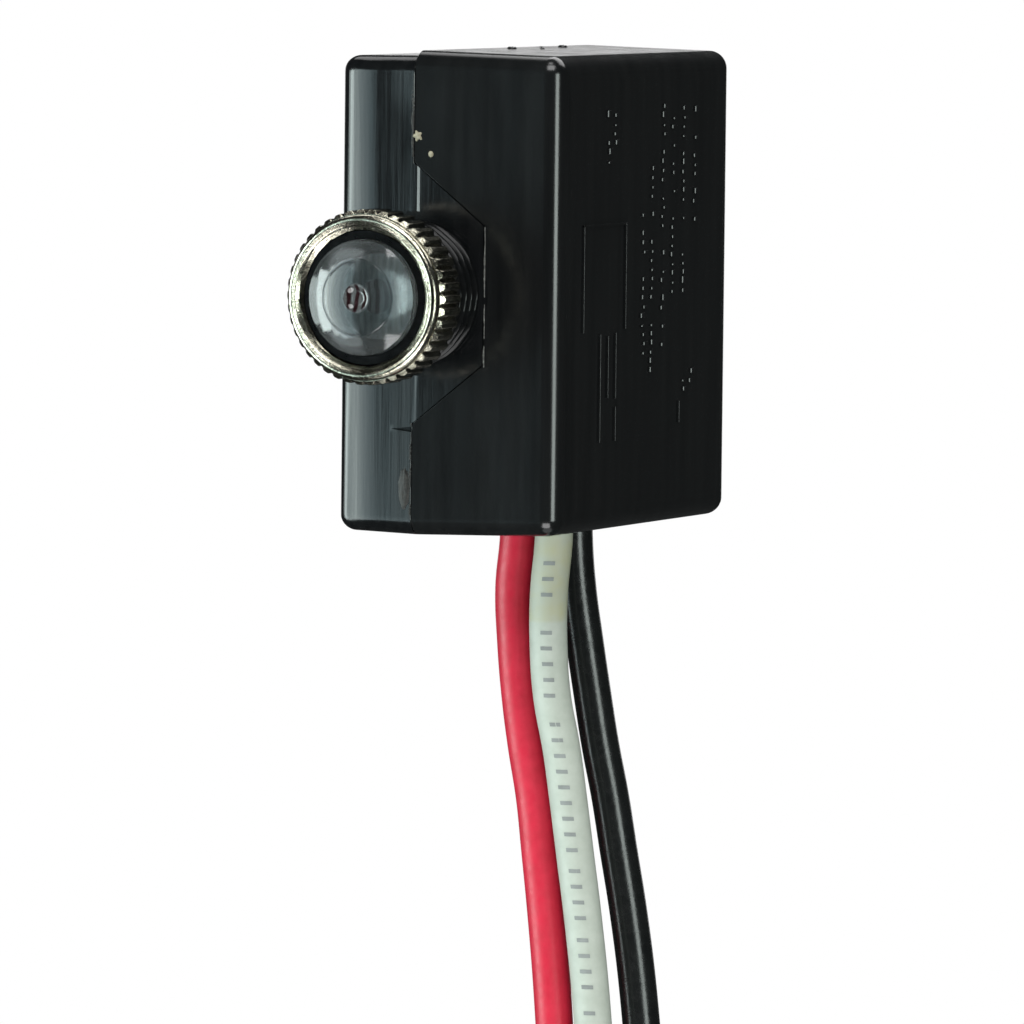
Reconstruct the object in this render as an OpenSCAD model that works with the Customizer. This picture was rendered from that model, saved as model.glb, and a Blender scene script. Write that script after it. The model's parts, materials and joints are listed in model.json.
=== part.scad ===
// Photocell switch: a two-part housing with a threaded eye stem, a ring nut and three free leads.
// The origin is on the stem's axis in the plane of the front seat. The stem points along -Y,
// the main shell lies at +X of the parting plane, the cover at -X, and +Z is up.

/* [Housing] */
// Width of the main shell, from the parting plane to its closed side
case_w = 12; // [11:0.1:15]
// Width of the cover, from the parting plane to its closed side
cover_w = 6.5; // [6.2:0.1:8]
// Depth of the housing, front to back
body_d = 32.2; // [31:0.1:36]
// Height of the main shell at the parting plane
body_h = 36.5; // [35:0.1:42]
// Wall thickness of both shells
wall = 1.6; // [1.2:0.1:1.8]
// Mould draft of the outer and inner walls, in degrees
draft_deg = 1.35; // [0.5:0.05:2]
// Radius of the rounded outer edges
edge_r = 1.4; // [0.8:0.1:1.6]
// How far the cover's top lies below the main shell's
cover_drop = 0.4; // [0:0.05:0.6]
// How far the cover's locating lip reaches into the main shell
lip_h = 1.2; // [0.8:0.1:1.4]
// Thickness of the locating lip
lip_t = 0.8; // [0.6:0.1:1]
// Gap between the lip and the main shell's wall
lip_gap = 0.15; // [0.1:0.05:0.25]
// How far the plain panel on the main shell's side stands proud
panel_proud = 0.12; // [0.05:0.01:0.3]
// Margin of flat wall left round that panel
panel_margin = 2.2; // [1.8:0.1:4]

/* [Stem and tongue] */
// Outer diameter of the stem's thread
stem_d = 11.1; // [10.8:0.1:11.6]
// Length of the stem in front of the seat
stem_len = 8.1; // [7.4:0.1:9]
// Diameter of the flat seat round the stem's root
seat_d = 12.4; // [12:0.1:12.6]
// Pitch of the thread
thread_pitch = 0.94; // [0.8:0.02:1.1]
// Depth of the thread
thread_depth = 0.5; // [0.3:0.05:0.55]
// Reach of the tongue past the parting plane
tongue_reach = 5.85; // [5.75:0.05:6.5]
// Height of the tongue at the parting plane
tongue_root_h = 19.7; // [18:0.1:22]
// Height of the tongue at its end
tongue_tip_h = 10.4; // [9:0.1:12]
// Gap between the tongue and the notch that it fills
tongue_gap = 0.2; // [0.1:0.05:0.3]

/* [Ring nut] */
// Diameter over the knurl
ring_d = 13.1; // [12.8:0.1:14]
// Diameter of the smooth rims
rim_d = 12.6; // [12.4:0.1:12.8]
// Length of the ring nut
ring_len = 3.9; // [3:0.1:4.5]
// Distance from the seat to the ring nut's front, as found on the stem
ring_front = 8.8; // [7.8:0.1:9]
// Length of the smooth front rim
rim_len = 0.8; // [0.5:0.1:1]
// Number of knurl teeth
knurl_teeth = 42; // [30:1:60]
// Radial running clearance on the thread's crests
ring_clearance = 0.05; // [0.03:0.01:0.1]

/* [Eye] */
// Diameter of the lens
lens_d = 8.6; // [8:0.1:8.8]
// How far the lens's rim stands out of the stem
lens_proud = 0.7; // [0.3:0.1:1]
// Height of the lens's dome above its rim
dome_h = 0.9; // [0.5:0.1:1.5]
// Depth of the lens's seat in the stem
lens_seat = 3.3; // [2.5:0.1:3.6]
// Radial clearance of the lens and of the cell in their seats
eye_clearance = 0.05; // [0.03:0.01:0.1]
// Diameter of the photocell
cell_d = 5.1; // [4.5:0.1:5.4]
// Thickness of the photocell
cell_t = 2.1; // [1.8:0.1:2.4]
// Space between the lens and the cell
cell_gap = 0.5; // [0.3:0.1:0.8]
// Diameter of the photocell's legs
cell_leg_d = 0.5; // [0.4:0.05:0.6]
// Distance between the photocell's legs
cell_leg_pitch = 2.54; // [2:0.02:2.8]

/* [Circuit] */
// Thickness of the circuit board
board_t = 1.6; // [1.2:0.1:1.8]
// Distance of the board's top face below the stem's axis
board_drop = 10.4; // [10:0.1:10.8]
// Space left round the board
board_gap = 0.35; // [0.2:0.05:0.6]
// How far the shell's rails reach over the board's edges
rail_hold = 0.4; // [0.3:0.05:0.5]
// Height of each rail
rail_h = 1.1; // [0.8:0.1:1.4]
// Space above the board in its slot
slot_gap = 0.1; // [0.05:0.05:0.2]
// Thickness of the heat sink plate
sink_t = 1.4; // [1:0.1:1.6]
// Height of the heat sink plate
sink_h = 23; // [20:0.5:25]
// Width of the triac
triac_w = 10; // [9.6:0.1:10.4]
// Thickness of the triac's body in front of its tab
triac_t = 3.1; // [2.8:0.1:3.4]
// Thickness of the triac's tab
tab_t = 1.3; // [1.1:0.1:1.4]
// Diameter of the component legs
leg_d = 0.6; // [0.5:0.05:0.7]
// Clearance of a leg in its hole, on the radius
leg_clearance = 0.1; // [0.05:0.01:0.15]

/* [Leads] */
// Outer diameter of a lead
lead_d = 2.9; // [2.4:0.1:3]
// Diameter of a lead's conductor
core_d = 1.2; // [1:0.1:1.4]
// Clearance of a lead in its hole, on the radius
lead_clearance = 0.1; // [0.05:0.01:0.15]
// Length of the bare end
strip_len = 10; // [6:1:14]

/* [Hidden] */
$fn = 64;
// Segments of the children of a hull
hull_fn = 32;
// Overlap that makes a cut or a join clean
over = 0.5;
// Thin slice that starts or ends a hull
slice = 0.01;
shell_black = [0.02, 0.02, 0.022];
nickel = [0.72, 0.70, 0.62];
tinned = [0.75, 0.76, 0.78];
copper = [0.75, 0.42, 0.25];

// Draft over a length of wall
function taper(length) = length * tan(draft_deg);

// Inner limits of the housing at the parting plane
inner_y0 = wall;
inner_y1 = body_d - wall;
inner_top = body_h / 2 - wall;
inner_bottom = -body_h / 2 + wall;

// Stem, from its tip inwards
stem_r = stem_d / 2;
thread_root_r = stem_r - thread_depth;
tip_y = -stem_len;
thread_crest = thread_pitch / 8;
thread_flank = thread_pitch * 3 / 8;
grip_relief = 0.2;
grip_len = ring_front - ring_len - grip_relief;
thread_turns = floor((stem_len - grip_len) / thread_pitch);
lens_back_y = tip_y + lens_seat;
cell_front_y = lens_back_y + cell_gap;
cell_back_y = cell_front_y + cell_t;
cell_ledge = 0.35;
cell_bore_d = cell_leg_pitch + cell_leg_d + 2 * cell_ledge;

// Ring nut
ring_bore_d = stem_d + 2 * ring_clearance;
rim_round = 0.35;
knurl_step = 0.1;
knurl_root_r = rim_d / 2 - knurl_step;
// Share of a knurl step that each flank of its tooth takes
knurl_flank = 0.3;

// Tongue and notch: the notch is the tongue's outline moved out by the gap
tongue_rise = (tongue_root_h - tongue_tip_h) / 2;
tongue_slope = norm([tongue_reach, tongue_rise]) / tongue_reach;
notch_reach = tongue_reach + tongue_gap;
notch_root_h = tongue_root_h + 2 * tongue_gap * tongue_slope;
notch_tip_h = notch_root_h - 2 * tongue_rise * notch_reach / tongue_reach;

// Board and what stands on it
board_x0 = -cover_w + wall + 2 * board_gap;
board_x1 = case_w - wall - 2 * board_gap;
board_y0 = inner_y0 + lip_gap + lip_t + board_gap;
board_y1 = inner_y1 - lip_gap - lip_t - board_gap;
board_top = -board_drop;
board_under = board_top - board_t;
part_gap = 0.3;
sink_margin = 0.8;
sink_back_y = board_y1 - rail_hold - part_gap;
sink_front_y = sink_back_y - sink_t;
tab_front_y = sink_front_y - tab_t;
triac_front_y = tab_front_y - triac_t;
triac_x = (board_x0 + board_x1) / 2;
triac_stand = 3.5;
triac_body_z = board_top + triac_stand;
triac_body_h = 9;
tab_h = 15.5;
tab_hole_z = triac_body_z + 12.5;
triac_leg_pitch = 2.54;
triac_leg_w = 0.8;
triac_leg_t = 0.5;
triac_leg_y = tab_front_y - triac_t / 2;
rivet_d = 3.2;
rivet_clearance = 0.1;
rivet_head_d = 5;
rivet_head_t = 0.9;

// Places of the small components on the board, [x, y] of each leg
leg_bend_r = 1;
axial_bend_r = 0.8;
contact_d = 0.7;
contact_h = 0.15;
resistor_d = 2;
resistor_l = 5;
resistor_pitch = 7.6;
diode_d = 1.8;
diode_l = 3.2;
diode_pitch = 5.08;
capacitor_w = 5;
capacitor_l = 10;
capacitor_h = 9;
capacitor_pitch = 7.5;
varistor_d = 7.5;
varistor_t = 3.5;
varistor_pitch = 5;
varistor_stand = 0.6;
cell_leg_y = board_y0 + 4.1;
dropper_x = board_x1 - 1.3;
dropper_y = board_y0 + 2.1;
gate_x = board_x0 + 0.9;
gate_y = triac_front_y - part_gap;
diode_x = board_x0 + 1.2;
diode_y = board_y0 + 1.1;
capacitor_x = board_x0 + part_gap + capacitor_w / 2;
capacitor_y = diode_y + diode_pitch + 4 * part_gap + capacitor_l / 2;
varistor_x = board_x1 - varistor_d / 2;
varistor_y = gate_y - resistor_d / 2 - varistor_t / 2 - part_gap / 2;
dropper_legs = [[dropper_x - resistor_pitch, dropper_y], [dropper_x, dropper_y]];
gate_legs = [[gate_x, gate_y], [gate_x + resistor_pitch, gate_y]];
diode_legs = [[diode_x, diode_y], [diode_x, diode_y + diode_pitch]];
capacitor_legs = [for (s = [-1, 1]) [capacitor_x, capacitor_y + s * capacitor_pitch / 2]];
varistor_legs = [for (s = [-1, 1]) [varistor_x + s * varistor_pitch / 2, varistor_y]];
cell_legs = [for (s = [-1, 1]) [s * cell_leg_pitch / 2, cell_leg_y]];
triac_legs = [for (i = [-1, 0, 1]) [triac_x + i * triac_leg_pitch, triac_leg_y]];
small_legs = concat(dropper_legs, gate_legs, diode_legs, capacitor_legs, varistor_legs, cell_legs);
leg_hole_d = leg_d + 2 * leg_clearance;
triac_hole_d = norm([triac_leg_w, triac_leg_t]) + 2 * leg_clearance;
core_hole_d = core_d + 2 * leg_clearance;
solder_h = 0.7;
solder_spread = 0.45;

// Routes of the three leads, from the board's underside down to the end of the insulation
red_route = [
    [2.8, 13.4, -13], [2.8, 13.4, -16], [2.8, 13.4, -19], [2.5, 13.3, -23], [2.7, 13.3, -27],
    [3.0, 13.5, -31], [3.5, 13.7, -35], [4.1, 14.0, -39], [4.5, 14.2, -43], [5.0, 14.4, -48],
    [5.5, 14.6, -54], [5.9, 14.8, -61], [6.2, 15.0, -68], [6.4, 15.1, -76], [6.5, 15.2, -84],
    [6.5, 15.2, -92], [6.5, 15.2, -100], [6.4, 15.2, -108], [6.3, 15.1, -116], [6.2, 15.1, -124],
    [6.1, 15.0, -132], [6.0, 15.0, -140], [6.0, 15.0, -148], [5.9, 15.0, -154], [5.9, 15.0, -160],
];
white_route = [
    [6.4, 12.0, -13], [6.4, 12.0, -16], [6.4, 12.0, -19], [6.1, 11.9, -23], [6.1, 11.9, -27],
    [6.4, 12.0, -31], [7.1, 12.3, -35], [7.6, 12.6, -39], [8.1, 12.8, -43], [8.7, 13.1, -48],
    [9.3, 13.4, -54], [9.8, 13.6, -61], [10.2, 13.8, -68], [10.5, 13.9, -76], [10.6, 14.0, -84],
    [10.6, 14.0, -92], [10.5, 14.0, -100], [10.4, 13.9, -108], [10.2, 13.8, -116], [10.1, 13.8, -124],
    [10.0, 13.7, -132], [9.9, 13.7, -140], [9.8, 13.7, -148], [9.8, 13.7, -154], [9.8, 13.7, -160],
];
black_route = [
    [6.3, 15.9, -13], [6.3, 15.9, -16], [6.3, 15.9, -19], [6.6, 16.0, -23], [7.1, 16.3, -27],
    [7.7, 16.5, -31], [8.3, 16.8, -35], [9.0, 17.2, -39], [9.6, 17.5, -43], [10.4, 17.8, -48],
    [11.1, 18.2, -54], [11.7, 18.4, -61], [12.1, 18.6, -68], [12.3, 18.7, -76], [12.4, 18.8, -84],
    [12.4, 18.8, -92], [12.3, 18.8, -100], [12.2, 18.7, -108], [12.0, 18.6, -116], [11.9, 18.6, -124],
    [11.8, 18.5, -132], [11.7, 18.5, -140], [11.6, 18.5, -148], [11.6, 18.5, -154], [11.6, 18.5, -160],
];
routes = [red_route, white_route, black_route];
lead_sides = 8;

// One drafted, rounded half of the housing as a solid, with its open end at the parting plane
module half_block(width, top) {
    inset = taper(width - edge_r);
    hull() {
        for (front = [1, -1], up = [1, -1]) {
            y_open = front > 0 ? edge_r : body_d - edge_r;
            z_open = up > 0 ? top - edge_r : -body_h / 2 + edge_r;
            translate([0, y_open, z_open])
                rotate([0, 90, 0])
                    cylinder(r = edge_r, h = slice, $fn = hull_fn);
            translate([width - edge_r, y_open + front * inset, z_open - up * inset])
                sphere(r = edge_r, $fn = hull_fn);
        }
    }
}

// The hollow of one half, drafted like its outside and open at the parting plane
module half_hollow(width, top) {
    depth = width - wall;
    inset = taper(depth);
    hull() {
        translate([-over, inner_y0, inner_bottom])
            cube([over, inner_y1 - inner_y0, top - wall - inner_bottom]);
        translate([depth - slice, inner_y0 + inset, inner_bottom + inset])
            cube([slice, inner_y1 - inner_y0 - 2 * inset, top - wall - inner_bottom - 2 * inset]);
    }
}

// A half hexagon in the front wall, from the parting plane to its reach
module trapezoid(reach, root_h, tip_h, y0, y1) {
    translate([0, y1, 0])
        rotate([90, 0, 0])
            linear_extrude(y1 - y0)
                polygon([
                    [-over, -root_h / 2], [0, -root_h / 2], [reach, -tip_h / 2],
                    [reach, tip_h / 2], [0, root_h / 2], [-over, root_h / 2],
                ]);
}

// A rectangle with round corners, as squares and circles
module rounded_rectangle(width, height, r) {
    translate([r, 0])
        square([width - 2 * r, height]);
    translate([0, r])
        square([width, height - 2 * r]);
    for (x = [r, width - r], y = [r, height - r])
        translate([x, y])
            circle(r);
}

// A cylinder along +Y from y0 to y1
module along_y(d, y0, y1) {
    translate([0, y0, 0])
        rotate([-90, 0, 0])
            cylinder(d = d, h = y1 - y0);
}

// The rails above and below one edge of the board
module board_rails() {
    rail_x0 = lip_h + board_gap;
    rail_x1 = case_w - wall + over;
    for (z = [board_under - rail_h, board_top + slot_gap]) {
        translate([rail_x0, inner_y0 - over, z])
            cube([rail_x1 - rail_x0, board_y0 + rail_hold - inner_y0 + over, rail_h]);
        translate([rail_x0, board_y1 - rail_hold, z])
            cube([rail_x1 - rail_x0, inner_y1 + over - board_y1 + rail_hold, rail_h]);
    }
}

// The plain raised panel on the closed side of the main shell
module side_panel() {
    panel_d = body_d - 2 * panel_margin;
    panel_h = body_h - 2 * panel_margin;
    translate([case_w - over, panel_margin, -panel_h / 2])
        rotate([90, 0, 90])
            linear_extrude(over + panel_proud)
                rounded_rectangle(panel_d, panel_h, edge_r);
}

module case_shell() {
    color(shell_black)
        difference() {
            union() {
                difference() {
                    half_block(case_w, body_h / 2);
                    half_hollow(case_w, body_h / 2);
                }
                board_rails();
                side_panel();
            }
            trapezoid(notch_reach, notch_root_h, notch_tip_h, -over, wall + over);
            for (route = routes)
                translate([route[0][0], route[0][1], -body_h / 2 - over])
                    cylinder(d = lead_d + 2 * lead_clearance, h = wall + 2 * over);
        }
}

// The lip that locates the cover inside the main shell's walls
module cover_lip() {
    reach = wall + lip_gap;
    inner = reach + lip_t;
    top = body_h / 2 - cover_drop;
    difference() {
        union() {
            translate([-lip_h, wall / 2, -body_h / 2 + wall / 2])
                cube([lip_h, body_d - wall, top + body_h / 2 - wall]);
            translate([-over, reach, -body_h / 2 + reach])
                cube([lip_h + over, body_d - 2 * reach, top + body_h / 2 - 2 * reach]);
        }
        translate([-lip_h - over, inner, -body_h / 2 + inner])
            cube([2 * lip_h + 2 * over, body_d - 2 * inner, top + body_h / 2 - 2 * inner]);
    }
}

// The stem's outside: its seat, the panel's grip stretch, and a ridge for each turn of thread at its tip
module threaded_stem() {
    along_y(seat_d, 0, wall);
    along_y(stem_d, -grip_len, wall);
    along_y(2 * thread_root_r, tip_y, wall);
    for (turn = [1 : thread_turns])
        translate([0, thread_crest / 2 - grip_len - turn * thread_pitch, 0])
            rotate([90, 0, 0])
                rotate_extrude()
                    polygon([
                        [thread_root_r - over, -thread_flank], [thread_root_r, -thread_flank],
                        [stem_r, 0], [stem_r, thread_crest],
                        [thread_root_r, thread_crest + thread_flank],
                        [thread_root_r - over, thread_crest + thread_flank],
                    ]);
}

module cover_shell() {
    color(shell_black)
        difference() {
            union() {
                mirror([1, 0, 0])
                    difference() {
                        half_block(cover_w, body_h / 2 - cover_drop);
                        half_hollow(cover_w, body_h / 2 - cover_drop);
                    }
                cover_lip();
                trapezoid(tongue_reach, tongue_root_h, tongue_tip_h, 0, wall);
                threaded_stem();
            }
            along_y(lens_d + 2 * eye_clearance, tip_y - over, lens_back_y);
            along_y(cell_d + 2 * eye_clearance, lens_back_y - over, cell_back_y);
            along_y(cell_bore_d, cell_back_y - over, inner_y0 + lip_gap + lip_t + over);
        }
}

// The knurled band's outline: one flat-topped tooth for each step round the ring
module knurl_outline() {
    tooth = 360 / knurl_teeth;
    crest_r = ring_d / 2;
    corners = [[0, knurl_root_r], [knurl_flank, crest_r], [1 - knurl_flank, crest_r]];
    polygon([
        for (i = [0 : knurl_teeth - 1], corner = corners)
            corner[1] * [cos((i + corner[0]) * tooth), sin((i + corner[0]) * tooth)],
    ]);
}

// The ring nut: a turned sleeve with smooth rims and a straight-knurled band between them
module ring_nut() {
    rim_r = rim_d / 2;
    color(nickel)
        translate([0, -ring_front, 0])
            rotate([-90, 0, 0])
                difference() {
                    union() {
                        rotate_extrude()
                            polygon([
                                [0, 0], [rim_r - rim_round, 0], [rim_r, rim_round],
                                [rim_r, ring_len - rim_round], [rim_r - rim_round, ring_len], [0, ring_len],
                            ]);
                        translate([0, 0, rim_len])
                            linear_extrude(ring_len - rim_len - rim_round)
                                knurl_outline();
                    }
                    translate([0, 0, -over])
                        cylinder(d = ring_bore_d, h = ring_len + 2 * over);
                }
}

// The lens: a plug whose front end is a low dome
module lens() {
    lens_r = lens_d / 2;
    dome_r = (lens_r * lens_r + dome_h * dome_h) / (2 * dome_h);
    apex_y = tip_y - lens_proud - dome_h;
    color([0.85, 0.88, 0.9, 0.5])
        intersection() {
            translate([0, apex_y + dome_r, 0])
                rotate([90, 0, 0])
                    sphere(r = dome_r);
            along_y(lens_d, apex_y - over, lens_back_y);
        }
}

// The photocell: a disc with two contact dots on its face
module photocell() {
    color([0.65, 0.35, 0.2])
        union() {
            along_y(cell_d, cell_front_y, cell_back_y);
            for (leg = cell_legs)
                translate([leg[0], 0, 0])
                    along_y(contact_d, cell_front_y - contact_h, cell_front_y + contact_h);
        }
}

// A leg along -Z, down to the board's underside
module leg_down(at, top, d) {
    translate([at[0], at[1], board_under])
        cylinder(d = d, h = top - board_under);
}

// The photocell's legs: straight back from the cell, bent down and through the board
module photocell_leads() {
    color(tinned)
        for (leg = cell_legs) {
            translate([leg[0], 0, 0])
                along_y(cell_leg_d, cell_back_y, cell_leg_y - leg_bend_r);
            translate([leg[0], cell_leg_y - leg_bend_r, -leg_bend_r])
                rotate([90, 0, 90])
                    rotate_extrude(angle = 90)
                        translate([leg_bend_r, 0])
                            circle(d = cell_leg_d);
            leg_down(leg, -leg_bend_r, cell_leg_d);
        }
}

module circuit_board() {
    color([0.45, 0.36, 0.18])
        difference() {
            translate([board_x0, board_y0, board_under])
                cube([board_x1 - board_x0, board_y1 - board_y0, board_t]);
            for (leg = small_legs)
                board_hole(leg, leg_hole_d);
            for (leg = triac_legs)
                board_hole(leg, triac_hole_d);
            for (route = routes)
                board_hole(route[0], core_hole_d);
        }
}

// One hole through the board
module board_hole(at, d) {
    translate([at[0], at[1], board_under - over])
        cylinder(d = d, h = board_t + 2 * over);
}

module triac_body() {
    color([0.06, 0.06, 0.06])
        translate([triac_x - triac_w / 2, triac_front_y, triac_body_z])
            cube([triac_w, triac_t, triac_body_h]);
}

// The triac's drilled tab and its three legs
module triac_lead_frame() {
    color(tinned) {
        difference() {
            translate([triac_x - triac_w / 2, tab_front_y, triac_body_z])
                cube([triac_w, tab_t, tab_h]);
            translate([triac_x, 0, tab_hole_z])
                along_y(rivet_d + 2 * rivet_clearance, tab_front_y - over, sink_front_y + over);
        }
        for (leg = triac_legs)
            translate([leg[0] - triac_leg_w / 2, leg[1] - triac_leg_t / 2, board_under])
                cube([triac_leg_w, triac_leg_t, triac_body_z - board_under]);
    }
}

module heat_sink() {
    color([0.78, 0.79, 0.8])
        difference() {
            translate([board_x0 + sink_margin, sink_front_y, board_top])
                cube([board_x1 - board_x0 - 2 * sink_margin, sink_t, sink_h]);
            translate([triac_x, 0, tab_hole_z])
                along_y(rivet_d + 2 * rivet_clearance, sink_front_y - over, sink_back_y + over);
        }
}

// The rivet through the tab and the plate, a head at each end
module triac_rivet() {
    color([0.7, 0.7, 0.72])
        translate([triac_x, 0, tab_hole_z]) {
            along_y(rivet_d, tab_front_y - rivet_head_t, sink_back_y + rivet_head_t);
            along_y(rivet_head_d, tab_front_y - rivet_head_t, tab_front_y);
            along_y(rivet_head_d, sink_back_y, sink_back_y + rivet_head_t);
        }
}

module timing_capacitor() {
    color([0.6, 0.12, 0.1])
        union() {
            translate([capacitor_x - capacitor_w / 2, capacitor_y - capacitor_l / 2, board_top])
                cube([capacitor_w, capacitor_l, capacitor_h]);
            for (leg = capacitor_legs)
                leg_down(leg, board_top + over, leg_d);
        }
}

// A round component lying between two legs: its body, and each leg bent down through the board
module axial_part(legs, d, length) {
    pitch = norm(legs[1] - legs[0]);
    middle = (legs[0] + legs[1]) / 2;
    axis_z = board_top + part_gap + d / 2;
    turn = atan2(legs[1][1] - legs[0][1], legs[1][0] - legs[0][0]);
    translate([middle[0], middle[1], axis_z])
        rotate([0, 0, turn]) {
            rotate([0, 90, 0])
                cylinder(d = d, h = length, center = true);
            rotate([0, 90, 0])
                cylinder(d = leg_d, h = pitch - 2 * axial_bend_r, center = true);
            for (side = [0, 1])
                mirror([side, 0, 0])
                    translate([pitch / 2 - axial_bend_r, 0, -axial_bend_r])
                        rotate([90, 0, 0])
                            rotate_extrude(angle = 90)
                                translate([axial_bend_r, 0])
                                    circle(d = leg_d);
        }
    for (leg = legs)
        leg_down(leg, axis_z - axial_bend_r, leg_d);
}

module dropper_resistor() {
    color([0.75, 0.62, 0.42])
        axial_part(dropper_legs, resistor_d, resistor_l);
}

module gate_resistor() {
    color([0.75, 0.62, 0.42])
        axial_part(gate_legs, resistor_d, resistor_l);
}

module trigger_diode() {
    color([0.2, 0.3, 0.6])
        axial_part(diode_legs, diode_d, diode_l);
}

// The varistor: a disc on edge above the board, on two legs
module surge_varistor() {
    disc_z = board_top + varistor_stand + varistor_d / 2;
    color([0.1, 0.25, 0.5])
        union() {
            translate([varistor_x, 0, disc_z])
                along_y(varistor_d, varistor_y - varistor_t / 2, varistor_y + varistor_t / 2);
            for (leg = varistor_legs)
                leg_down(leg, disc_z - varistor_d / 4, leg_d);
        }
}

// A solder fillet that stands on the board at the end of a leg
module fillet(hole_d, top_d) {
    cylinder(d1 = hole_d + 2 * solder_spread, d2 = top_d, h = solder_h);
}

module solder_joints() {
    color([0.7, 0.7, 0.72]) {
        for (leg = small_legs)
            translate([leg[0], leg[1], board_under])
                mirror([0, 0, 1])
                    fillet(leg_hole_d, leg_d);
        for (leg = triac_legs)
            translate([leg[0], leg[1], board_under])
                mirror([0, 0, 1])
                    fillet(triac_hole_d, triac_leg_w);
        for (route = routes)
            translate([route[0][0], route[0][1], board_top])
                fillet(core_hole_d, core_d);
    }
}

// The conductors' near ends, from the insulation up through the board
module core_tails() {
    color(copper)
        for (route = routes)
            translate(route[0])
                cylinder(d = core_d, h = board_top - route[0][2]);
}

// Direction of a route at one of its points
function heading(route, i) =
    let (a = route[max(i - 1, 0)], b = route[min(i + 1, len(route) - 1)])
        (b - a) / norm(b - a);

// A ring of corners round one point of a route
function ring_at(route, i, r) =
    let (along = heading(route, i))
        let (side = cross([0, 1, 0], along) / norm(cross([0, 1, 0], along)))
            let (front = cross(along, side))
                [for (k = [0 : lead_sides - 1])
                    route[i] + r * (cos(360 * k / lead_sides) * side + sin(360 * k / lead_sides) * front)];

// A round cord swept along a route as one solid
module swept_cord(route, d) {
    last = len(route) - 1;
    corners = [for (i = [0 : last]) each ring_at(route, i, d / 2)];
    sides = [
        for (i = [0 : last - 1], k = [0 : lead_sides - 1])
            let (a = i * lead_sides + k, b = i * lead_sides + (k + 1) % lead_sides)
                [a, a + lead_sides, b + lead_sides, b],
    ];
    near_end = [for (k = [0 : lead_sides - 1]) k];
    far_end = [for (k = [lead_sides - 1 : -1 : 0]) last * lead_sides + k];
    polyhedron(corners, concat([near_end], sides, [far_end]));
}

// The bare end below a lead's insulation
module bare_end(route) {
    end = route[len(route) - 1];
    color(copper)
        translate(end - [0, 0, strip_len])
            cylinder(d = core_d, h = strip_len);
}

module lead_red() {
    color([0.7, 0.1, 0.2])
        swept_cord(red_route, lead_d);
}

module lead_white() {
    color([0.85, 0.87, 0.82])
        swept_cord(white_route, lead_d);
}

module lead_black() {
    color([0.03, 0.03, 0.03])
        swept_cord(black_route, lead_d);
}

module stripped_end_red() {
    bare_end(red_route);
}

module stripped_end_white() {
    bare_end(white_route);
}

module stripped_end_black() {
    bare_end(black_route);
}

case_shell();
cover_shell();
ring_nut();
lens();
photocell();
photocell_leads();
circuit_board();
triac_body();
triac_lead_frame();
heat_sink();
triac_rivet();
timing_capacitor();
dropper_resistor();
gate_resistor();
trigger_diode();
surge_varistor();
solder_joints();
core_tails();
lead_red();
lead_white();
lead_black();
stripped_end_red();
stripped_end_white();
stripped_end_black();
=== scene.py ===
import json
import math

import bmesh
import bpy
from mathutils import Matrix, Vector, noise


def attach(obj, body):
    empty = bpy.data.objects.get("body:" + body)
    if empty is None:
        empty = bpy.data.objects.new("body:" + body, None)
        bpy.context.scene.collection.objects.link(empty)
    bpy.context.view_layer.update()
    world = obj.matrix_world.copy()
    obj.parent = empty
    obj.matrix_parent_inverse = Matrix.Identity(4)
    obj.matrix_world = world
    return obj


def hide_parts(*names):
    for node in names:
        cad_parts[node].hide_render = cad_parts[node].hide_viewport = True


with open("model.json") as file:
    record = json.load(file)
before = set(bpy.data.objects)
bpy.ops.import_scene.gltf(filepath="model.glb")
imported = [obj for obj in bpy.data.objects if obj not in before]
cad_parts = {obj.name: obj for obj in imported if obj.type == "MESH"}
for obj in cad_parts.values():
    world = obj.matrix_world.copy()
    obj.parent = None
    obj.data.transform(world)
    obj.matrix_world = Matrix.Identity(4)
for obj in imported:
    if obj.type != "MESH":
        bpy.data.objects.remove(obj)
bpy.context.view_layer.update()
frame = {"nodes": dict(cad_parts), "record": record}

# Sizes of the part in metres, the same as in its source
MM = 0.001
CASE_W = 12.0 * MM
COVER_W = 6.5 * MM
BODY_D = 32.2 * MM
BODY_H = 36.5 * MM
WALL = 1.6 * MM
EDGE_R = 1.4 * MM
COVER_DROP = 0.40 * MM
DRAFT = math.radians(1.35)
PANEL_PROUD = 0.12 * MM
PANEL_MARGIN = 2.2 * MM
LIP_H = 1.2 * MM
LIP_GAP = 0.15 * MM
LIP_T = 0.8 * MM
TONGUE_REACH = 5.85 * MM
TONGUE_ROOT_H = 19.7 * MM
TONGUE_TIP_H = 10.4 * MM
STEM_R = 5.55 * MM
STEM_LEN = 8.1 * MM
SEAT_R = 6.2 * MM
THREAD_PITCH = 0.94 * MM
LENS_BORE_R = 4.35 * MM
LENS_BACK_Y = -4.8 * MM
CELL_BORE_R = 2.6 * MM
CELL_BACK_Y = -2.2 * MM
LEG_BORE_R = 1.87 * MM
RING_R = 6.55 * MM
RIM_R = 6.3 * MM
RING_FRONT = 8.8 * MM
RING_LEN = 3.9 * MM
KNURL_TEETH = 42
LENS_R = 4.3 * MM
LENS_RIM_Y = -8.8 * MM
DOME_H = 0.9 * MM
LEAD_D = 2.9 * MM
CORE_D = 1.2 * MM
STRIP_LEN = 10 * MM
LEAD_CLEARANCE = 0.1 * MM
BOARD_TOP = -10.4 * MM
BOARD_UNDER = -12.0 * MM
BOARD_Y0 = 2.9 * MM
BOARD_Y1 = 29.3 * MM
BOARD_GAP = 0.35 * MM
RAIL_HOLD = 0.4 * MM
RAIL_H = 1.1 * MM
SLOT_GAP = 0.1 * MM
OVER = 0.5 * MM

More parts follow.
